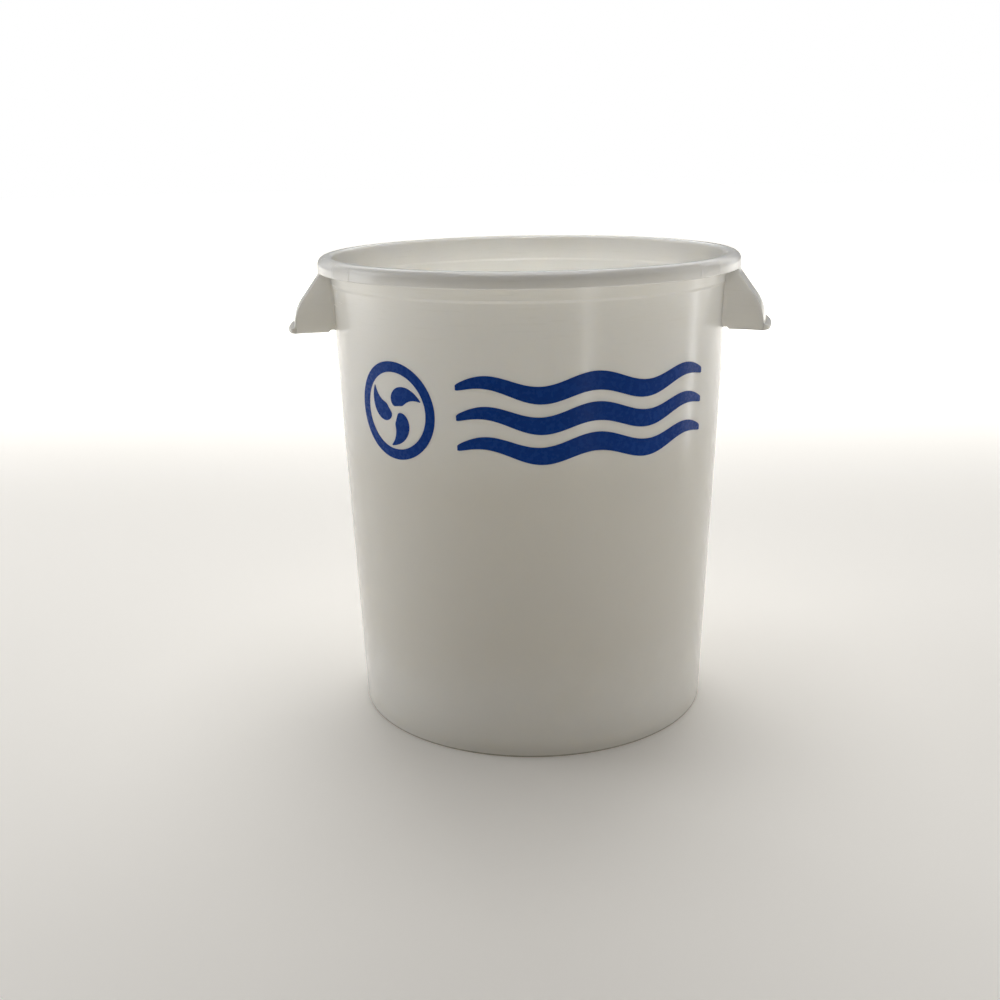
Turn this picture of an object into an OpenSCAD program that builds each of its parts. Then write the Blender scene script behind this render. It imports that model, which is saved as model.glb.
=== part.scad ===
// Mortar mixing tub, 30 litre class: a tapered white plastic tub with a hollow rim,
// two hooded side handles and a printed emblem with three waves on its front.
// Millimetres. The origin is the centre of the base, +Z is up, the handles lie on
// +X and -X, and the print faces -Y. Every node is a feature of the tub, and
// neighbouring nodes meet face to face.

/* [Tub] */
// Height from the floor to the top of the rim
tub_h = 405; // [390:1:420]
// Outer radius of the wall at the base
base_r = 156.5; // [152:0.5:157]
// Draft angle of the wall
draft = 2.2; // [1.8:0.1:2.2]
// Thickness of the wall
wall_t = 2.8; // [2.2:0.1:3.4]
// Thickness of the floor
floor_t = 3.2; // [2.6:0.1:4]
// Height of the foot ring under the floor
foot_h = 5; // [3:0.5:8]
// Radius of the rounded corner between the floor and the wall
corner_r = 8; // [5:0.5:12]
// Radius of the moulding gate's nub under the floor
nub_r = 5; // [3:0.5:8]
// Height of the moulding gate's nub
nub_h = 1.6; // [1:0.1:2.5]

/* [Rim] */
// Outer radius of the rim
rim_r = 182; // [180:0.5:184]
// Height of the rim's outer face
rim_h = 12.5; // [11:0.5:15]
// Radius of the rim's outer top corner
rim_round = 5; // [3.5:0.5:6]
// Radius of the rim's inner top corner
lip_round = 2; // [1:0.5:2.5]
// Thickness of the rim's outer skirt
skirt_t = 2.5; // [2:0.1:3]
// Thickness of the rim's top
crown_t = 3; // [2:0.1:3]
// Depth of the stacking shoulder below the top of the rim
shoulder_depth = 24; // [20:0.5:30]
// Outward step of the wall above the stacking shoulder
shoulder_step = 0.7; // [0.3:0.1:1]
// Angle from the middle of a handle to the near web in the rim's channel
near_web = 32; // [28:1:36]
// Angle from the middle of a handle to the far web in the rim's channel
far_web = 41; // [38:1:60]
// Width of one web, in degrees around the tub
web_deg = 0.6; // [0.4:0.1:1]

/* [Handles] */
// Half of the angle that one handle spans around the tub
handle_half = 16; // [13:0.5:20]
// Outer radius of the handle's upright grip
grip_r = 204.2; // [202:0.1:206]
// Height of the upright grip above the lower edge of the handle's end walls
grip_h = 5.5; // [5:0.5:12]
// Slope of the hood, from the vertical
hood_slope = 36.5; // [34:0.5:40]
// Radius of the hood's lower bend
hood_bend = 36; // [25:1:40]
// Radius of the fillet where the hood leaves the rim
hood_fillet = 8; // [5:0.5:10]
// Thickness of the hood
hood_t = 2.5; // [2:0.1:3]
// Thickness of an end wall, in degrees around the tub
gusset_deg = 0.8; // [0.6:0.1:1.2]
// Height of the notch in an end wall's lower edge, beside the tub
notch_h = 1.8; // [1:0.1:3]
// Width of that notch
notch_w = 6; // [4:0.5:10]
// How far the grip's bead stands out
bead_out = 5.1; // [3:0.1:6]
// Radius of the bead's nose
bead_nose = 2.4; // [1.5:0.1:3]

/* [Print] */
// Thickness of the printed film
ink_t = 0.3; // [0.1:0.05:0.5]
// Height of the middle of the print
print_z = 292; // [270:1:310]
// Outer radius of the emblem's ring
ring_r = 40; // [30:1:44]
// Width of the emblem's ring
ring_w = 8.5; // [4:0.5:10]
// Angle of the emblem's centre from the front of the tub
emblem_angle = -38; // [-45:1:-35]
// Number of blades in the emblem
blades = 3; // [2:1:5]
// Angle from the front of the tub to the left end of the waves
waves_from = -18; // [-24:1:0]
// Angle from the front of the tub to the right end of the waves
waves_to = 58; // [20:1:75]
// Number of waves, one above the other
waves = 3; // [2:1:4]
// Distance between waves
wave_pitch = 24; // [20:1:28]
// Greatest width of a wave's stripe
wave_w = 15; // [8:0.5:16]
// Height of a wave's swing to each side
wave_swing = 5; // [2:0.5:6]
// Number of swings along one wave
wave_count = 2.5; // [1.5:0.5:4]

/* [Hidden] */
$fn = 96;
PLASTIC = [0.90, 0.89, 0.85];
INK = [0.03, 0.16, 0.42];

floor_z = foot_h + floor_t;
shoulder_z = tub_h - shoulder_depth;
skirt_z = tub_h - rim_h;
crown_z = tub_h - rim_round;
roof_z = tub_h - crown_t;
front = -90;
right = 0;
left = 180;

// Outer radius of the wall below the stacking shoulder
function wall_r(z) = base_r + z * tan(draft);

// Outer radius of the wall above the stacking shoulder
function band_r(z) = wall_r(z) + shoulder_step;

// Points of an arc from angle a0 to angle a1
function arc(centre, r, a0, a1, steps = 8) =
    [for (i = [0:steps]) let (a = a0 + (a1 - a0) * i / steps)
        centre + r * [cos(a), sin(a)]];

// From the rim's skirt downwards, the hood's outer face is a concave fillet, a
// straight slope and a convex bend that turns upright at the top of the grip.
bends_out = (hood_bend + hood_fillet) * (1 - cos(hood_slope));
slope_drop = (grip_r - rim_r - bends_out) / tan(hood_slope);
grip_z = skirt_z - slope_drop - (hood_bend + hood_fillet) * sin(hood_slope);
handle_z = grip_z - grip_h;

// A face of the hood at depth t under its outer face, from the grip up to the skirt
function hood_face(t) = concat(
    arc([grip_r - hood_bend, grip_z], hood_bend - t, 0, hood_slope),
    arc([rim_r + hood_fillet, skirt_z], hood_fillet + t, 180 + hood_slope, 180, 5));

function reversed(points) = [for (i = [len(points) - 1:-1:0]) points[i]];

// A ring whose section is the given outline of radii and heights
module ring(points) {
    rotate_extrude() polygon(points);
}

// The part of such a ring between two angles around the tub
module sector(points, from, to) {
    rotate([0, 0, from]) rotate_extrude(angle = to - from) polygon(points);
}

// ---- Tub ----

module foot_ring() {
    color(PLASTIC) ring([
        [wall_r(0) - wall_t, 0], [wall_r(0), 0],
        [wall_r(foot_h), foot_h], [wall_r(foot_h) - wall_t, foot_h]]);
}

module floor_plate() {
    color(PLASTIC) ring([
        [0, foot_h], [wall_r(foot_h) - wall_t, foot_h],
        [wall_r(floor_z) - wall_t, floor_z], [0, floor_z]]);
}

module corner_fillet() {
    foot = wall_r(floor_z) - wall_t;
    top = wall_r(floor_z + corner_r) - wall_t;
    centre = [top - corner_r, floor_z + corner_r];
    color(PLASTIC) ring(concat([[foot, floor_z]], reversed(arc(centre, corner_r, -90, 0))));
}

module gate_nub() {
    color(PLASTIC) translate([0, 0, foot_h - nub_h]) cylinder(r = nub_r, h = nub_h);
}

module side_wall() {
    color(PLASTIC) ring([
        [wall_r(foot_h) - wall_t, foot_h], [wall_r(foot_h), foot_h],
        [wall_r(shoulder_z), shoulder_z], [wall_r(shoulder_z) - wall_t, shoulder_z]]);
}

module upper_band() {
    step_z = shoulder_z + shoulder_step;
    color(PLASTIC) ring([
        [wall_r(shoulder_z) - wall_t, shoulder_z], [wall_r(shoulder_z), shoulder_z],
        [band_r(step_z), step_z], [band_r(crown_z), crown_z],
        [band_r(crown_z) - wall_t, crown_z], [band_r(step_z) - wall_t, step_z]]);
}

// ---- Rim ----

module rim_crown() {
    inner = band_r(crown_z) - wall_t;
    outer_corner = arc([rim_r - rim_round, crown_z], rim_round, 0, 90);
    inner_corner = arc([inner + lip_round, tub_h - lip_round], lip_round, 90, 180, 5);
    color(PLASTIC) ring(concat(
        outer_corner, inner_corner,
        [[inner, crown_z], [band_r(crown_z), crown_z], [band_r(crown_z), roof_z],
         [rim_r - skirt_t, roof_z], [rim_r - skirt_t, crown_z]]));
}

module rim_skirt() {
    color(PLASTIC) ring([
        [rim_r - skirt_t, skirt_z], [rim_r, skirt_z],
        [rim_r, crown_z], [rim_r - skirt_t, crown_z]]);
}

// Short radial webs that stiffen the rim's channel beside the handles
module rim_webs() {
    web = [[band_r(skirt_z), skirt_z], [rim_r - skirt_t, skirt_z],
           [rim_r - skirt_t, roof_z], [band_r(crown_z), roof_z], [band_r(crown_z), crown_z]];
    color(PLASTIC)
        for (side = [right, left], angle = [near_web, far_web], turn = [-1, 1])
            sector(web, side + turn * angle - web_deg / 2, side + turn * angle + web_deg / 2);
}

// ---- Handles ----

// The sloping cover of a handle, from the rim down to the grip
module hood(side) {
    color(PLASTIC)
        sector(concat(hood_face(0), reversed(hood_face(hood_t))),
            side - handle_half, side + handle_half);
}

// The upright lower edge of a handle
module grip(side) {
    outline = [[grip_r - hood_t, handle_z], [grip_r, handle_z],
               [grip_r, grip_z], [grip_r - hood_t, grip_z]];
    color(PLASTIC) sector(outline, side - handle_half, side + handle_half);
}

// The round-nosed bead on the outside of a grip, whose ends slope back to the grip
module bead(side) {
    size = 4 * bead_out;
    nose_centre = [grip_r + bead_out - bead_nose, handle_z + bead_nose];
    outline = concat([[grip_r, handle_z]], arc(nose_centre, bead_nose, -90, 40), [[grip_r, grip_z]]);
    color(PLASTIC) rotate([0, 0, side]) difference() {
        sector(outline, -handle_half, handle_half);
        for (turn = [-1, 1])
            rotate([0, 0, turn * handle_half]) translate([grip_r, 0, handle_z - bead_out])
                rotate([0, 0, turn * 45]) translate([0, -size / 2, 0]) cube(size);
    }
}

// The radial wall that closes one end of a handle
module gusset(side, turn) {
    step_z = shoulder_z + shoulder_step;
    notch_z = handle_z + notch_h;
    notch_r = wall_r(notch_z) + notch_w;
    outline = concat(
        [[wall_r(notch_z), notch_z], [notch_r - notch_h, notch_z], [notch_r, handle_z],
         [grip_r - hood_t, handle_z]],
        hood_face(hood_t),
        [[rim_r - skirt_t, roof_z], [band_r(crown_z), roof_z], [band_r(crown_z), crown_z],
         [band_r(step_z), step_z], [wall_r(shoulder_z), shoulder_z]]);
    outer = side + turn * handle_half;
    inner = side + turn * (handle_half - gusset_deg);
    color(PLASTIC) sector(outline, min(inner, outer), max(inner, outer));
}

module right_hood() { hood(right); }
module right_grip() { grip(right); }
module right_bead() { bead(right); }
module right_front_gusset() { gusset(right, -1); }
module right_back_gusset() { gusset(right, 1); }
module left_hood() { hood(left); }
module left_grip() { grip(left); }
module left_bead() { bead(left); }
module left_front_gusset() { gusset(left, 1); }
module left_back_gusset() { gusset(left, -1); }

// ---- Print ----

// A point on the wall, u along the wall from the given angle and v above the
// middle of the print, lifted off the wall's face by t
function on_wall(angle, u, v, t) =
    let (z = print_z + v, r = wall_r(z), a = front + angle + u / r * 180 / PI)
        [(r + t) * cos(a), (r + t) * sin(a), z];

// A printed ribbon: stations are pairs of edge points [u, v] of a flat outline, laid
// on the wall as a closed film with several lanes across
module ribbon(angle, stations, closed = false, lanes = 3) {
    rows = len(stations);
    row = lanes + 1;
    layer = rows * row;
    points = [for (t = [0, ink_t], s = stations, k = [0:lanes])
        let (p = s[0] + (s[1] - s[0]) * k / lanes) on_wall(angle, p.x, p.y, t)];
    spans = closed ? rows : rows - 1;
    skins = [for (i = [0:spans - 1], k = [0:lanes - 1])
        let (a = i * row + k, b = (i + 1) % rows * row + k) [a, a + 1, b + 1, b]];
    edges = [for (i = [0:spans - 1], k = [0, lanes])
        let (a = i * row + k, b = (i + 1) % rows * row + k)
            k == 0 ? [a, b, b + layer, a + layer] : [b, a, a + layer, b + layer]];
    ends = closed ? [] : [for (i = [0, rows - 1], k = [0:lanes - 1])
        let (a = i * row + k)
            i == 0 ? [a + 1, a, a + layer, a + 1 + layer]
                   : [a, a + 1, a + 1 + layer, a + layer]];
    polyhedron(points = points, convexity = 6, faces = concat(
        [for (f = skins) reversed(f)], [for (f = skins) [for (i = f) i + layer]],
        [for (f = concat(edges, ends)) reversed(f)]));
}

module print_ring() {
    stations = [for (i = [0:71]) let (a = 5 * i)
        [(ring_r - ring_w) * [cos(a), sin(a)], ring_r * [cos(a), sin(a)]]];
    color(INK) ribbon(emblem_angle, stations, closed = true);
}

// Curved mixing blades that sweep out from the emblem's centre
module print_swirl() {
    root_r = 4;
    tip_r = ring_r - ring_w - 2.5;
    sweep = 70;
    widest = 15;
    steps = 24;
    color(INK) for (blade = [0:blades - 1]) {
        stations = [for (i = [0:steps]) let (
                s = i / steps,
                r = root_r + (tip_r - root_r) * s,
                a = 90 + 360 * blade / blades - sweep * s,
                half = (0.8 + (widest - 0.8) * sin(180 * pow(s, 0.7))) / 2,
                across = a + 90 - atan2(r * sweep * PI / 180, tip_r - root_r))
            [r * [cos(a), sin(a)] - half * [cos(across), sin(across)],
             r * [cos(a), sin(a)] + half * [cos(across), sin(across)]]];
        ribbon(emblem_angle, stations);
    }
}

// Wavy stripes that thin out towards both ends
module print_waves() {
    steps = 60;
    length = (waves_to - waves_from) * PI / 180 * wall_r(print_z);
    color(INK) for (wave = [0:waves - 1]) {
        stations = [for (i = [0:steps]) let (
                s = i / steps,
                v = wave_pitch * (wave - (waves - 1) / 2) + wave_swing * sin(360 * wave_count * s),
                half = wave_w / 2 * (0.25 + 0.75 * pow(sin(180 * s), 0.5)))
            [[length * s, v + half], [length * s, v - half]]];
        ribbon(waves_from, stations);
    }
}

foot_ring();
floor_plate();
corner_fillet();
gate_nub();
side_wall();
upper_band();
rim_crown();
rim_skirt();
rim_webs();
right_hood();
right_grip();
right_bead();
right_front_gusset();
right_back_gusset();
left_hood();
left_grip();
left_bead();
left_front_gusset();
left_back_gusset();
print_ring();
print_swirl();
print_waves();
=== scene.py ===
"""Looks of a translucent white mortar mixing tub with two moulded handles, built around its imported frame.

Metres, +Z up, handles on +X and -X, print on the -Y side. Angles around the tub are in degrees.
"""

import math

import bmesh
import bpy
from mathutils import Matrix, Vector


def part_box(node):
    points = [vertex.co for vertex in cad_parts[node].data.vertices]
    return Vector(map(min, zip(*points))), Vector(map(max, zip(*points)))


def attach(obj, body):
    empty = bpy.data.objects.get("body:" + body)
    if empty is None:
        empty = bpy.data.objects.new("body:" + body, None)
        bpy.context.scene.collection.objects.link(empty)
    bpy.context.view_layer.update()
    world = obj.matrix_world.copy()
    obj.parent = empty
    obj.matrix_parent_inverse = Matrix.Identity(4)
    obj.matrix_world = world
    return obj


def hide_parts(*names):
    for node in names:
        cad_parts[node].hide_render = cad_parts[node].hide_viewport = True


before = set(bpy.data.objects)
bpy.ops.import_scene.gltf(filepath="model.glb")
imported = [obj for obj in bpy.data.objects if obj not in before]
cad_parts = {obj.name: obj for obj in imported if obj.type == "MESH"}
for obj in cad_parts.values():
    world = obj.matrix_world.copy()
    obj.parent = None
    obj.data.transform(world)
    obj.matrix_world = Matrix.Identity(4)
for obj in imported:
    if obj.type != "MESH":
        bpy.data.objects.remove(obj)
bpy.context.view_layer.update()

MM = 0.001


# ---------------------------------------------------------------- sizes, read from the frame

def low(node):
    return Vector(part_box(node)[0])


def high(node):
    return Vector(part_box(node)[1])


top_z = high("rim_crown").z
rim_r = high("rim_crown").y
crown_z = low("rim_crown").z
skirt_z = low("rim_skirt").z
shoulder_z = low("upper_band").z
foot_z = high("foot_ring").z
floor_z = high("floor_plate").z
corner_top = high("corner_fillet").z

taper = (high("side_wall").x - high("foot_ring").x) / (shoulder_z - foot_z)
base_r = high("foot_ring").x - taper * foot_z


def wall_r(z):
    """Outer radius of the wall below the stacking shoulder."""
    return base_r + taper * z


wall_t = wall_r(floor_z) - high("floor_plate").x
shoulder_step = high("upper_band").x - wall_r(crown_z)
corner_r = corner_top - floor_z
skirt_t = 2.5 * MM
crown_t = 3 * MM

grip_r = high("right_grip").x
bead_out = high("right_bead").x - grip_r
grip_z = high("right_grip").z
handle_z = low("right_front_gusset").z
handle_half = math.degrees(math.asin(high("right_grip").y / grip_r))


# ---------------------------------------------------------------- camera

def make_camera():
    """Camera at the photograph's viewing angle.

    It stands six rim radii away, 2 degrees off the front, and looks down by 16 degrees.
    """
    pitch, yaw, roll, off_front = (math.radians(a) for a in (16.33, -1.48, -0.965, 1.9))
    place = (0, -6.003 * rim_r, 2.746 * rim_r)
    forward = Vector((math.sin(yaw) * math.cos(pitch), math.cos(yaw) * math.cos(pitch), -math.sin(pitch)))
    level = Vector((math.cos(yaw), -math.sin(yaw), 0))
    upright = level.cross(forward)
    side = math.cos(roll) * level + math.sin(roll) * upright
    up = math.cos(roll) * upright - math.sin(roll) * level
    data = bpy.data.cameras.new("camera")
    data.sensor_width = 36
    data.lens = 44.57
    camera = bpy.data.objects.new("camera", data)
    turn = Matrix((side, up, -forward)).transposed().to_4x4()
    orbit = Matrix.Rotation(off_front, 4, "Z")
    camera.matrix_world = orbit @ Matrix.Translation(place) @ turn
    bpy.context.scene.collection.objects.link(camera)
    bpy.context.scene.camera = camera


make_camera()


# ---------------------------------------------------------------- outlines

def arc(centre, r, a0, a1, steps):
    """Points of an arc in the plane of radius and height, ends included."""
    angles = [math.radians(a0 + (a1 - a0) * i / steps) for i in range(steps + 1)]
    return [(centre[0] + r * math.cos(a), centre[1] + r * math.sin(a)) for a in angles]


def rounded(corners, steps=6, closed=True):
    """An outline whose corners (x, y, radius) are rounded, with a support point beside each arc."""
    points = []
    count = len(corners)
    for i, (x, y, radius) in enumerate(corners):
        here = Vector((x, y))
        if radius == 0 or (not closed and i in (0, count - 1)):
            points.append((x, y))
            continue
        before = Vector(corners[i - 1][:2]) - here
        after = Vector(corners[(i + 1) % count][:2]) - here
        back, onward = before.normalized(), after.normalized()
        turn = before.angle(after)
        reach = radius / math.tan(turn / 2)
        start = here + back * reach
        end = here + onward * reach
        centre = here + (back + onward).normalized() * radius / math.sin(turn / 2)
        a0 = math.atan2(start.y - centre.y, start.x - centre.x)
        a1 = math.atan2(end.y - centre.y, end.x - centre.x)
        sweep = (a1 - a0 + math.pi) % (2 * math.pi) - math.pi
        support = 0.35 * radius
        if before.length > 2 * (reach + support):
            points.append(tuple(here + back * (reach + support)))
        for k in range(steps + 1):
            a = a0 + sweep * k / steps
            points.append((centre.x + radius * math.cos(a), centre.y + radius * math.sin(a)))
        if after.length > 2 * (reach + support):
            points.append(tuple(here + onward * (reach + support)))
    return points


def spot(r, angle, z):
    """A point at radius r and height z, at an angle in degrees around the tub."""
    a = math.radians(angle)
    return (r * math.cos(a), r * math.sin(a), z)


def new_mesh(name, vertices, faces, material):
    mesh = bpy.data.meshes.new(name)
    mesh.from_pydata(vertices, [], faces)
    mesh.validate()
    bm = bmesh.new()
    bm.from_mesh(mesh)
    bmesh.ops.recalc_face_normals(bm, faces=bm.faces)
    bm.to_mesh(mesh)
    bm.free()
    mesh.polygons.foreach_set("use_smooth", [True] * len(mesh.polygons))
    mesh.materials.append(material)
    piece = bpy.data.objects.new(name, mesh)
    bpy.context.scene.collection.objects.link(piece)
    return piece


# ---------------------------------------------------------------- material helpers

class Nodes:
    """Short calls for building a node tree."""

    def __init__(self, name):
        self.material = bpy.data.materials.new(name)
        self.material.use_nodes = True
        self.tree = self.material.node_tree
        self.shader = self.tree.nodes["Principled BSDF"]
        self.position = self.add("ShaderNodeTexCoord").outputs["Object"]

    def add(self, kind, **settings):
        node = self.tree.nodes.new(kind)
        for key, value in settings.items():
            setattr(node, key, value)
        return node

    def link(self, source, target):
        self.tree.links.new(source, target)

    def scaled(self, scale):
        mapping = self.add("ShaderNodeMapping")
        mapping.inputs["Scale"].default_value = scale
        self.link(self.position, mapping.inputs["Vector"])
        return mapping.outputs["Vector"]

    def coordinate(self, axis):
        split = self.add("ShaderNodeSeparateXYZ")
        self.link(self.position, split.inputs[0])
        return split.outputs[axis]

    def noise(self, vector, scale, detail=3, roughness=0.5, distortion=0):
        node = self.add("ShaderNodeTexNoise")
        settings = {"Scale": scale, "Detail": detail, "Roughness": roughness, "Distortion": distortion}
        for key, value in settings.items():
            node.inputs[key].default_value = value
        self.link(vector, node.inputs["Vector"])
        return node.outputs["Fac"]

    def remap(self, value, from_low, from_high, to_low, to_high):
        """A smooth step from to_low to to_high, while the value goes from from_low to from_high."""
        node = self.add("ShaderNodeMapRange", interpolation_type="SMOOTHSTEP")
        limits = {"From Min": from_low, "From Max": from_high, "To Min": to_low, "To Max": to_high}
        for key, limit in limits.items():
            node.inputs[key].default_value = limit
        self.link(value, node.inputs["Value"])
        return node.outputs["Result"]

    def math(self, operation, a, b):
        node = self.add("ShaderNodeMath", operation=operation)
        for value, socket in ((a, node.inputs[0]), (b, node.inputs[1])):
            if isinstance(value, (int, float)):
                socket.default_value = value
            else:
                self.link(value, socket)
        return node.outputs[0]

    def mix(self, factor, a, b):
        node = self.add("ShaderNodeMix", data_type="RGBA")
        self.link(factor, node.inputs["Factor"])
        for value, socket in ((a, node.inputs["A"]), (b, node.inputs["B"])):
            if isinstance(value, tuple):
                socket.default_value = (*value, 1)
            else:
                self.link(value, socket)
        return node.outputs["Result"]

    def bump(self, height, distance, normal=None):
        node = self.add("ShaderNodeBump")
        node.inputs["Strength"].default_value = 1
        node.inputs["Distance"].default_value = distance
        self.link(height, node.inputs["Height"])
        if normal is not None:
            self.link(normal, node.inputs["Normal"])
        return node.outputs["Normal"]


def tub_plastic():
    """Glossy, slightly translucent white plastic with handling scuffs, a darker mid-wall band of painted
    shade, and a foot darkened by grime and painted contact shadow.
    """
    # The third colour on the next line is painted shade for the wall's middle. The last colour on the line
    # after it is grime with painted contact shadow for the foot.
    clean, worn, mid_wall_shade = (0.885, 0.867, 0.822), (0.84, 0.82, 0.765), (0.792, 0.768, 0.712)
    scuffed, grime_and_contact_shade = (0.78, 0.76, 0.7), (0.36, 0.32, 0.23)
    scuffs_from, scuffs_to = 330 * MM, 375 * MM
    n = Nodes("tub_plastic")
    shader = n.shader
    height = n.coordinate("Z")
    flow = n.noise(n.scaled((1, 1, 0.12)), 16, detail=2)
    patches = n.noise(n.position, 9, detail=4, roughness=0.6)
    scratches = n.noise(n.scaled((1, 1, 14)), 30, detail=5, roughness=0.75, distortion=0.4)
    fine = n.noise(n.position, 1400, detail=2)

    handled = n.remap(height, scuffs_from, scuffs_to, 0.15, 1)
    scuffs = n.math("MULTIPLY", n.remap(scratches, 0.52, 0.72, 0, 1), handled)
    uneven = n.math("ADD", height, n.math("MULTIPLY", patches, 60 * MM))
    # Painted shade: a darker band on the wall from about 60 to 320 mm high, with a ragged edge.
    below, above = n.remap(uneven, 260 * MM, 320 * MM, 0.8, 0), n.remap(uneven, 60 * MM, 140 * MM, 0, 1)
    ragged = n.math("ADD", height, n.math("MULTIPLY", patches, 0.8 * MM))
    # Grime and painted contact shadow: the foot's lowest 1.2 to 2.6 mm turns dark brown, with a ragged
    # edge.
    foot = n.remap(ragged, 1.2 * MM, 2.6 * MM, 0.8, 0)

    colour = n.mix(n.remap(patches, 0.5, 0.8, 0, 0.6), clean, worn)
    colour = n.mix(n.math("MULTIPLY", below, above), colour, mid_wall_shade)
    colour = n.mix(n.math("MULTIPLY", scuffs, 0.35), colour, scuffed)
    n.link(n.mix(foot, colour, grime_and_contact_shade), shader.inputs["Base Color"])

    rough = n.math("ADD", n.remap(patches, 0.3, 0.7, 0.15, 0.22), n.math("MULTIPLY", scuffs, 0.08))
    n.link(rough, shader.inputs["Roughness"])
    wavy = n.bump(flow, 0.4 * MM)
    rubbed = n.bump(scuffs, 0.006 * MM, wavy)
    n.link(n.bump(fine, 0.002 * MM, rubbed), shader.inputs["Normal"])
    shader.inputs["IOR"].default_value = 1.5
    shader.inputs["Subsurface Weight"].default_value = 1
    shader.inputs["Subsurface Radius"].default_value = (1.0, 0.97, 0.9)
    shader.inputs["Subsurface Scale"].default_value = 5 * MM
    return n.material


def blue_ink():
    """Screen-printed royal blue ink, a little uneven."""
    n = Nodes("blue_ink")
    shader = n.shader
    mottle = n.noise(n.position, 260, detail=3)
    broad = n.noise(n.position, 12, detail=2)
    tone = n.remap(n.math("ADD", mottle, broad), 0.7, 1.3, 0, 1)
    n.link(n.mix(tone, (0.003, 0.048, 0.28), (0.004, 0.058, 0.33)), shader.inputs["Base Color"])
    n.link(n.remap(mottle, 0.3, 0.7, 0.24, 0.3), shader.inputs["Roughness"])
    n.link(n.bump(mottle, 0.003 * MM), shader.inputs["Normal"])
    shader.inputs["IOR"].default_value = 1.5
    shader.inputs["Specular IOR Level"].default_value = 0.1
    return n.material


PLASTIC = tub_plastic()
INK = blue_ink()


# ---------------------------------------------------------------- the moulded tub

def tub_outline():
    """Closed outline of the whole tub in radius and height, from under the foot ring up the outside."""
    band_low = wall_r(shoulder_z) + shoulder_step
    inner_top = wall_r(crown_z) + shoulder_step - wall_t
    roof_z = top_z - crown_t
    step_h = 2 * MM
    crown_out, crown_in, roof_round = 7 * MM, 3 * MM, 4.5 * MM
    nub, nub_low = high("gate_nub"), low("gate_nub").z
    rows = 24
    wall = [(wall_r(z), z, 0) for z in (shoulder_z * (i + 1) / rows for i in range(rows - 1))]
    inner = [(r - wall_t, z, 0) for r, z, _ in reversed(wall) if z > corner_top + 2 * MM]
    return rounded([
        (base_r - wall_t, 0, 0.6 * MM),
        (base_r, 0, 1.4 * MM),
        *wall,
        (wall_r(shoulder_z), shoulder_z, 2 * MM),
        (band_low, shoulder_z + step_h, 2 * MM),
        (wall_r(roof_z) + shoulder_step, roof_z, 1.2 * MM),
        (rim_r - skirt_t, roof_z, roof_round),
        (rim_r - skirt_t, skirt_z, 0.5 * MM),
        (rim_r, skirt_z, 0.8 * MM),
        (rim_r, top_z, crown_out),
        (inner_top, top_z, crown_in),
        (band_low - wall_t, shoulder_z + step_h, 2 * MM),
        (wall_r(shoulder_z) - wall_t, shoulder_z, 2 * MM),
        *inner,
        (wall_r(floor_z) - wall_t, floor_z, corner_r),
        (0.5 * base_r, floor_z, 0),
        (0, floor_z, 0),
        (0, nub_low, 0),
        (nub.x, nub_low, 0.6 * MM),
        (nub.x, foot_z, 0.5 * MM),
        (0.5 * base_r, foot_z, 0),
        (wall_r(foot_z) - wall_t, foot_z, 1.2 * MM),
    ])


seam_angles = (41, 32)
seam_width = 0.2
seam_h = 0.45 * MM
step_at_seam = 0.1 * MM


def skirt_radius(r, angle):
    """Radius of the rim, on whose face two fine mould seams stand proud at each side of a handle.

    The second seam is the lower one, and between the first ones and the handle the face is a little proud.
    """
    face_depth = 3 * MM
    if r < rim_r - face_depth:
        return r
    from_handle = abs((angle + 90) % 180 - 90)
    first, second = (max(0, 1 - abs(from_handle - seam) / seam_width) for seam in seam_angles)
    raised = min(1, max(0, (seam_angles[0] - from_handle) / seam_width))
    inside = min(1, max(0, (r - rim_r + face_depth) / MM))
    return r + inside * (step_at_seam * raised + seam_h * (first + 0.6 * second))


def lathe(name, outline, angles, radius, material):
    """A closed solid turned about the Z axis; points on the axis are shared by all its segments."""
    vertices, faces, rings = [], [], []
    for r, z in outline:
        if r < 1e-6:
            rings.append([len(vertices)] * len(angles))
            vertices.append((0, 0, z))
        else:
            rings.append(list(range(len(vertices), len(vertices) + len(angles))))
            vertices.extend(spot(radius(r, a), a, z) for a in angles)
    for here, there in zip(rings, rings[1:] + rings[:1]):
        for i in range(len(angles)):
            j = (i + 1) % len(angles)
            corners = [here[i], here[j], there[j], there[i]]
            face = [v for k, v in enumerate(corners) if v != corners[k - 1]]
            if len(face) > 2:
                faces.append(face)
    return new_mesh(name, vertices, faces, material)


def make_tub():
    segments = 288
    angles = {360 * i / segments for i in range(segments)}
    for seam in seam_angles:
        for handle, sign in ((0, -1), (0, 1), (180, -1), (180, 1)):
            angles.update((handle + sign * (seam - d)) % 360 for d in (-seam_width, 0, seam_width))
    tub = lathe("tub_shell", tub_outline(), sorted(angles), skirt_radius, PLASTIC)
    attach(tub, "root")
    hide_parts("foot_ring", "floor_plate", "corner_fillet", "gate_nub", "side_wall",
                "upper_band", "rim_crown", "rim_skirt")


make_tub()


# ---------------------------------------------------------------- handles

# The slope, the bead's gap and fade at each end, and the end walls' thickness are in degrees.
hood_slope = 36.5
hood_bend = 36 * MM
hood_fillet = 8 * MM
hood_t = 2.5 * MM
hood_sink = 1.2 * MM
nose_r = 2.4 * MM
bead_gap = 0.15
bead_fade = 1.7
gusset_deg = 0.8
notch_h = 1.8 * MM
notch_w = 6 * MM
notch_round = 1.2 * MM
seam_fillet = 3 * MM
root_reach = 7 * MM
handle_inside = handle_half - gusset_deg


class Moulding:
    """Vertices and faces of one closed piece, placed by their angle from a handle's middle."""

    def __init__(self, middle):
        self.middle = middle
        self.vertices = []
        self.faces = []

    def vertex(self, r, angle, z):
        self.vertices.append(spot(r, self.middle + angle, z))
        return len(self.vertices) - 1

    def strip(self, a, b):
        """Faces between two rows of vertices."""
        for i in range(len(a) - 1):
            self.faces.append([a[i], a[i + 1], b[i + 1], b[i]])


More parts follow.
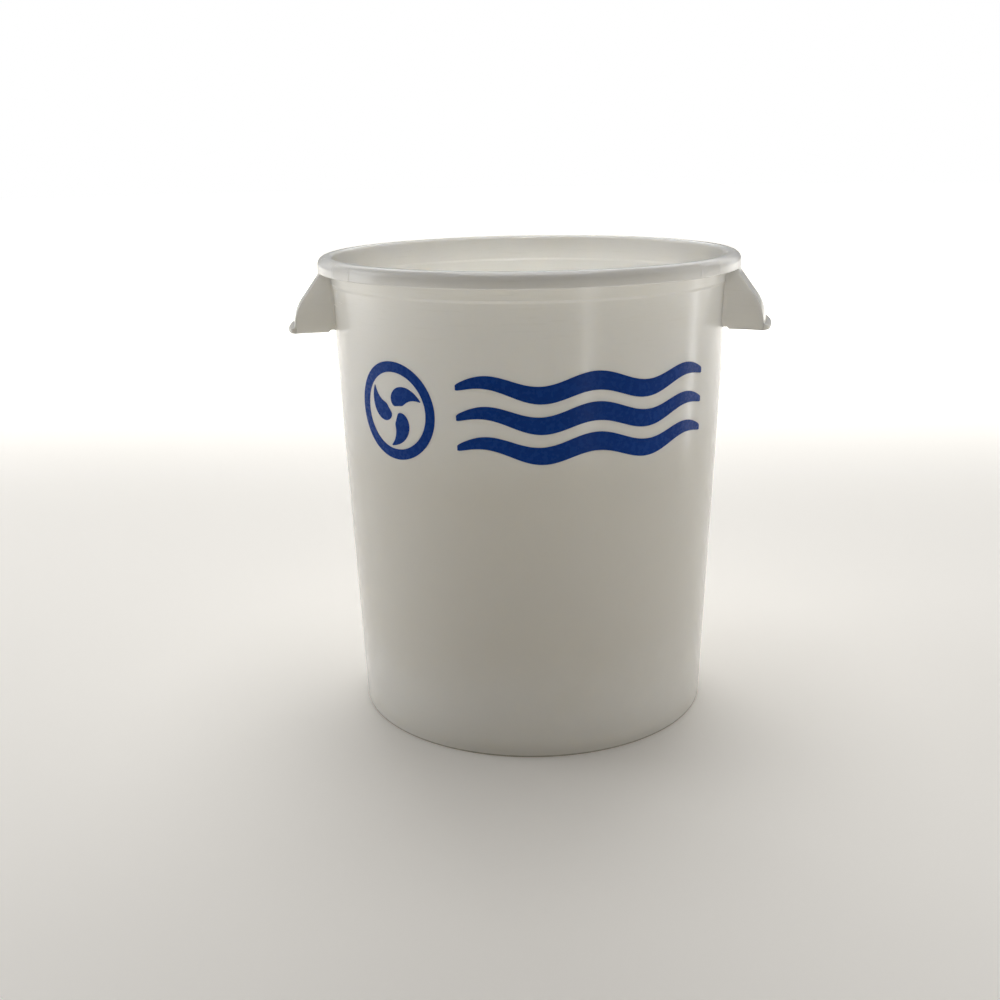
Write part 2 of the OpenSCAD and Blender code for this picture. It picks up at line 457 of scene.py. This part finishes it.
def hood_face(depth):
    """The hood's face at a depth under its outer face, from the rim down to the grip."""
    fillet = arc((rim_r + hood_fillet, skirt_z), hood_fillet + depth, 180, 180 + hood_slope, 6)
    bend = arc((grip_r - hood_bend, grip_z), hood_bend - depth, hood_slope, 0, 10)
    return fillet + bend


def hood_sections():
    """Outer and inner outline of the hood, the grip and its bead, from the rim down."""
    edge = 0.5 * MM
    top = skirt_z + hood_sink
    nose = arc((grip_r + bead_out - nose_r, handle_z + nose_r), nose_r, 50, -90, 9)
    outer = [(rim_r - edge, top), *hood_face(0), *nose, (grip_r - edge, handle_z)]
    inner = [(rim_r - hood_t, top), *hood_face(hood_t), (grip_r - hood_t, handle_z)]
    return outer, inner


def section_angles(spans=50):
    """Angles of a handle's sections from end to end, closer together where the bead fades."""
    ends = [handle_half - d for d in (0, bead_gap, 0.3, 0.5, gusset_deg, 1.15, bead_fade)]
    first = handle_inside - bead_fade
    even = [first - 2 * first * i / spans for i in range(spans + 1)]
    return sorted({*ends, *(-a for a in ends), *even})


def bead_taper(angle):
    """How far the bead stands out at an angle from the handle's middle, from 1 down to 0 at its ends."""
    full, end = handle_half - bead_fade, handle_half - bead_gap
    s = (abs(angle) - full) / (end - full)
    return 1 if s <= 0 else math.sqrt(max(0, 1 - s * s))


def gusset_under():
    """Lower edge of an end wall in radius and height, from the grip to the fillet beside the tub."""
    notch_z = handle_z + notch_h
    notch_r = wall_r(notch_z) + notch_w
    edge = rounded([
        (grip_r - hood_t, handle_z, 0),
        (notch_r, handle_z, notch_round),
        (notch_r - notch_h, notch_z, notch_round),
        (wall_r(notch_z) + seam_fillet, notch_z, 0)], closed=False)
    return edge[1:]


def root_row(piece, angle, out, z, steps=5):
    """Vertices at one height, from an end wall's foot along its fillet and then inside the tub's wall.

    They run away from the end wall just under the outer face of the tub's wall, and come back just past its
    inner face.
    """
    under, past, above_step = 0.06 * MM, 0.02 * MM, shoulder_z + 3.5 * MM
    face = wall_r(z) + (shoulder_step if z > above_step else 0)
    row = []
    for k in range(steps + 1):
        t = math.pi / 2 * k / steps
        r = face + seam_fillet * (1 - math.sin(t))
        aside = math.degrees(seam_fillet * (1 - math.cos(t)) / r)
        row.append(piece.vertex(r, angle + out * aside, z))
    for reach in (MM, root_reach / 2, root_reach):
        row.append(piece.vertex(face - under, angle + out * (aside + math.degrees(reach / face)), z))
    aside += math.degrees(root_reach / face)
    for share in (1, 0.75, 0.5, 0.25, 0):
        row.append(piece.vertex(face - wall_t - past, angle + out * aside * share, z))
    return row


def add_end_wall(piece, sign, angles, out_rows, in_rows, seam_rows=16):
    """The end wall at one side of a handle, from the hood's end sections to its root in the tub's wall."""
    under = gusset_under()
    seam_low, seam_high = under[-1][1], crown_z - 2 * MM
    heights = [seam_low + (seam_high - seam_low) * i / seam_rows for i in range(seam_rows + 1)]
    walls = []
    for angle, out in ((sign * handle_half, sign), (sign * handle_inside, -sign)):
        edge = [piece.vertex(r, angle, z) for r, z in under[:-1]]
        rows = [root_row(piece, angle, out, z) for z in heights]
        corner = piece.vertex(rim_r - hood_t, angle, seam_high)
        for low_row, high_row in zip(rows, rows[1:]):
            piece.strip(low_row, high_row)
        walls.append((edge + [rows[0][0]], rows, corner))
    (edge_a, rows_a, corner_a), (edge_b, rows_b, corner_b) = walls
    piece.strip(edge_a, edge_b)
    piece.strip([row[-1] for row in rows_a], [row[-1] for row in rows_b])
    piece.faces.append(rows_a[0] + rows_b[0][::-1])
    piece.faces.append(rows_a[-1] + rows_b[-1][::-1])
    piece.faces.append([rows_a[-1][0], corner_a, corner_b, rows_b[-1][0]])

    hair = 1e-6
    span = [i for i, a in enumerate(angles) if handle_inside - hair <= sign * a <= handle_half + hair]
    span.sort(key=lambda i: -abs(angles[i]))
    piece.faces.append([in_rows[i][-1] for i in span] + [edge_b[0], edge_a[0]])
    piece.faces.append([in_rows[i][0] for i in span] + [corner_b, corner_a])
    seam_a = [row[0] for row in rows_a[1:]]
    seam_b = [row[0] for row in rows_b[1:]]
    tip, root = span[0], span[-1]
    piece.faces.append(out_rows[tip] + [in_rows[tip][-1]] + edge_a + seam_a + [corner_a, in_rows[tip][0]])
    piece.faces.append(in_rows[root] + edge_b + seam_b + [corner_b])


def make_handle(name, middle, nodes):
    """One handle as a closed moulding: hood, grip with its bead, and an end wall at each end.

    The end walls' roots run on inside the tub's wall, so that light passes between them as in one moulding.
    """
    piece = Moulding(middle)
    outer, inner = hood_sections()
    angles = section_angles()
    out_rows = [[piece.vertex(r if r <= grip_r else grip_r + (r - grip_r) * bead_taper(a), a, z)
                 for r, z in outer] for a in angles]
    in_rows = [[piece.vertex(r, a, z) for r, z in inner] for a in angles]
    for i in range(len(angles) - 1):
        piece.strip(out_rows[i], out_rows[i + 1])
        for end in (-1, 0):
            here, there = ([out_rows[k][end], in_rows[k][end]] for k in (i, i + 1))
            piece.strip(here, there)
        if abs(angles[i] + angles[i + 1]) / 2 < handle_inside:
            piece.strip(in_rows[i], in_rows[i + 1])
    for sign in (-1, 1):
        add_end_wall(piece, sign, angles, out_rows, in_rows)

    handle = new_mesh(name, piece.vertices, piece.faces, PLASTIC)
    bevel = handle.modifiers.new("rounded edges", "BEVEL")
    bevel.width = 0.7 * MM
    bevel.segments = 3
    bevel.limit_method = "ANGLE"
    bevel.angle_limit = math.radians(40)
    bevel.use_clamp_overlap = False
    handle.modifiers.new("even shading", "WEIGHTED_NORMAL")
    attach(handle, "root")
    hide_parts(*nodes)


for side, middle in (("right", 0), ("left", 180)):
    parts = ("hood", "grip", "bead", "front_gusset", "back_gusset")
    make_handle(side + "_handle", middle, [side + "_" + part for part in parts])

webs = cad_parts["rim_webs"]
for slot in webs.material_slots:
    slot.material = PLASTIC


# ---------------------------------------------------------------- print

FRONT = -90
ink_t = 0.12 * MM
ink_sink = 0.1 * MM
print_z = (low("print_ring").z + high("print_ring").z) / 2
ring_r = (high("print_ring").z - low("print_ring").z) / 2
ring_w = 8.5 * MM
emblem_angle = FRONT - 38
waves_from, waves_to = FRONT - 18, FRONT + 58


def ribbon(angle, stations, closed=False, lanes=4):
    """Vertices and faces of a closed film on the wall between pairs of edge points (u, v)."""
    row = lanes + 1
    layer = len(stations) * row
    vertices, faces = [], []
    for t in (-ink_sink, ink_t):
        for a, b in stations:
            for k in range(row):
                u = a[0] + (b[0] - a[0]) * k / lanes
                z = print_z + a[1] + (b[1] - a[1]) * k / lanes
                r = wall_r(z)
                vertices.append(spot(r + t, angle + math.degrees(u / r), z))
    spans = len(stations) if closed else len(stations) - 1
    for i in range(spans):
        here, there = i * row, (i + 1) % len(stations) * row
        for k in range(lanes):
            for up in (0, layer):
                faces.append([here + k + up, here + k + 1 + up, there + k + 1 + up, there + k + up])
        for k in (0, lanes):
            faces.append([here + k, there + k, there + k + layer, here + k + layer])
    if not closed:
        for here in (0, layer - row):
            for k in range(lanes):
                faces.append([here + k, here + k + 1, here + k + 1 + layer, here + k + layer])
    return vertices, faces


def make_print(name, node, angle, bands, closed=False):
    vertices, faces = [], []
    for stations in bands:
        v, f = ribbon(angle, stations, closed)
        faces += [[i + len(vertices) for i in face] for face in f]
        vertices += v
    film = new_mesh(name, vertices, faces, INK)
    film.data.polygons.foreach_set("use_smooth", [False] * len(film.data.polygons))
    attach(film, "root")
    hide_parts(node)


def ring_stations(steps=144):
    circle = [(math.cos(2 * math.pi * i / steps), math.sin(2 * math.pi * i / steps)) for i in range(steps)]
    return [[((ring_r - ring_w) * x, (ring_r - ring_w) * y), (ring_r * x, ring_r * y)] for x, y in circle]


def blade_stations(turn, steps=48):
    """One curved blade that sweeps out from the emblem's centre."""
    root_r, tip_r = 4 * MM, ring_r - ring_w - 2.5 * MM
    sweep, thin, widest = math.radians(70), 0.8 * MM, 15 * MM
    stations = []
    for i in range(steps + 1):
        s = i / steps
        r = root_r + (tip_r - root_r) * s
        a = math.pi / 2 + turn - sweep * s
        half = (thin + (widest - thin) * math.sin(math.pi * s ** 0.7)) / 2
        across = a + math.pi / 2 - math.atan2(r * sweep, tip_r - root_r)
        x, y = r * math.cos(a), r * math.sin(a)
        dx, dy = half * math.cos(across), half * math.sin(across)
        stations.append([(x - dx, y - dy), (x + dx, y + dy)])
    return stations


def wave_stations(row, steps=160):
    """One wavy stripe, thinner towards both ends."""
    length = math.radians(waves_to - waves_from) * wall_r(print_z)
    pitch, swing, widest, swings = 24 * MM, 5 * MM, 15 * MM, 2.5
    stations = []
    for i in range(steps + 1):
        s = i / steps
        v = pitch * row + swing * math.sin(2 * math.pi * swings * s)
        half = widest / 2 * (0.25 + 0.75 * math.sqrt(max(0, math.sin(math.pi * s))))
        stations.append([(length * s, v + half), (length * s, v - half)])
    return stations


make_print("ink_ring", "print_ring", emblem_angle, [ring_stations()], closed=True)
blade_turns = [2 * math.pi * i / 3 for i in range(3)]
make_print("ink_swirl", "print_swirl", emblem_angle, [blade_stations(turn) for turn in blade_turns])
make_print("ink_waves", "print_waves", waves_from, [wave_stations(row) for row in (-1, 0, 1)])


# ---------------------------------------------------------------- floor, light and backdrop

def make_floor():
    """A pale floor that glows softly far from the tub, so that it fades into the white backdrop."""
    radius, corners = 12, 72
    near, far, far_ahead = 0.11, 1.12, 1
    edge = [spot(radius, 360 * i // corners, 0) for i in range(corners)]
    mesh = bpy.data.meshes.new("floor")
    mesh.from_pydata(edge, [], [list(range(corners))])
    floor = bpy.data.objects.new("floor", mesh)
    bpy.context.scene.collection.objects.link(floor)
    n = Nodes("floor")
    n.link(n.remap(n.noise(n.position, 3), 0, 1, 0.55, 0.6), n.shader.inputs["Roughness"])
    n.shader.inputs["Base Color"].default_value = (0.93, 0.895, 0.84, 1)
    n.shader.inputs["Specular IOR Level"].default_value = 0.2
    beside = n.remap(n.math("ABSOLUTE", n.coordinate("X"), 0), 1.2, 2.6, near, far)
    behind = n.remap(n.coordinate("Y"), 0.5, 2.4, near, far)
    ahead = n.remap(n.coordinate("Y"), -1.8, -8, near, far_ahead)
    glow = n.math("MAXIMUM", n.math("MAXIMUM", beside, behind), ahead)
    n.link(glow, n.shader.inputs["Emission Strength"])
    n.shader.inputs["Emission Color"].default_value = (1, 0.975, 0.92, 1)
    mesh.materials.append(n.material)


def area_light(name, place, target, size, power, colour=(1, 1, 1), spread=180, mirrored=True):
    """A rectangle of light facing the target; one that isn't mirrored gives no reflections."""
    data = bpy.data.lights.new(name, "AREA")
    data.shape = "RECTANGLE"
    data.size, data.size_y = size
    data.energy = power
    data.color = colour
    data.spread = math.radians(spread)
    light = bpy.data.objects.new(name, data)
    light.location = place
    light.rotation_euler = (Vector(target) - Vector(place)).to_track_quat("-Z", "Y").to_euler()
    light.visible_camera = False
    light.visible_glossy = mirrored
    bpy.context.scene.collection.objects.link(light)


def make_world():
    """A white backdrop for the camera, and a dim room that is lighter behind the tub and at its sides."""
    world = bpy.data.worlds.new("studio")
    bpy.context.scene.world = world
    world.use_nodes = True
    tree = world.node_tree
    tree.nodes.clear()

    def add(kind, **settings):
        node = tree.nodes.new(kind)
        for key, value in settings.items():
            setattr(node, key, value)
        return node

    split = add("ShaderNodeSeparateXYZ")
    tree.links.new(add("ShaderNodeTexCoord").outputs["Generated"], split.inputs[0])

    def glow(axis, colour, start, end, strength):
        """Light that grows from nothing at one direction along an axis to its full strength at another."""
        fade = add("ShaderNodeMapRange", interpolation_type="SMOOTHSTEP")
        limits = {"From Min": start, "From Max": end, "To Min": 0, "To Max": strength}
        for key, limit in limits.items():
            fade.inputs[key].default_value = limit
        shade = add("ShaderNodeBackground")
        shade.inputs["Color"].default_value = (*colour, 1)
        tree.links.new(split.outputs[axis], fade.inputs["Value"])
        tree.links.new(fade.outputs["Result"], shade.inputs["Strength"])
        return shade.outputs[0]

    def both(a, b):
        total = add("ShaderNodeAddShader")
        tree.links.new(a, total.inputs[0])
        tree.links.new(b, total.inputs[1])
        return total.outputs[0]

    warm = (1, 0.9, 0.76)
    room = both(glow("X", warm, 0.2, 1.1, 0.165), glow("X", warm, -0.2, -1.1, 0.045))
    room = both(room, glow("Y", (1, 1, 1), 0.3, 0.85, 0.14))
    white = add("ShaderNodeBackground")
    white.inputs["Color"].default_value = (1, 1, 1, 1)
    mix = add("ShaderNodeMixShader")
    tree.links.new(add("ShaderNodeLightPath").outputs["Is Camera Ray"], mix.inputs[0])
    tree.links.new(room, mix.inputs[1])
    tree.links.new(white.outputs[0], mix.inputs[2])
    tree.links.new(mix.outputs[0], add("ShaderNodeOutputWorld").inputs["Surface"])


make_floor()
make_world()
tub_middle = (0, 0, 0.5 * top_z)
cool = (0.97, 0.985, 1)
area_light("low_back_window", (0, 3, 1.6), tub_middle, (3.4, 2.2), 32, cool, mirrored=False)
area_light("high_back_window", (0, 2.7, 2.5), tub_middle, (3.4, 1.9), 30, cool)
area_light("left_back_window", (-1.8, 1.8, 1.0), tub_middle, (1.2, 1.8), 4, cool)
area_light("right_back_window", (1.8, 1.8, 1.0), tub_middle, (1.2, 1.8), 7, cool)
area_light("left_window", (-2.4, 0.3, 0.9), tub_middle, (1.2, 1.8), 14.5, cool)
area_light("right_window", (2.4, 0.3, 0.9), tub_middle, (1.2, 1.8), 4.4, cool)
area_light("ceiling", (0, 0.2, 2.6), (0, 0, 0), (1.6, 1.6), 21.5)
area_light("mouth_light", (0, -1.2, 1.0), (0, 0.17, 0.365), (0.4, 0.05), 0.057, spread=10)
for name, angle in (("front_strip", -58), ("right_strip", 12)):
    area_light(name, spot(0.95, angle, 0.14), spot(0.1, angle, 0.2), (0.09, 0.26), 0.054, spread=90)
bpy.context.scene.view_settings.view_transform = "Standard"
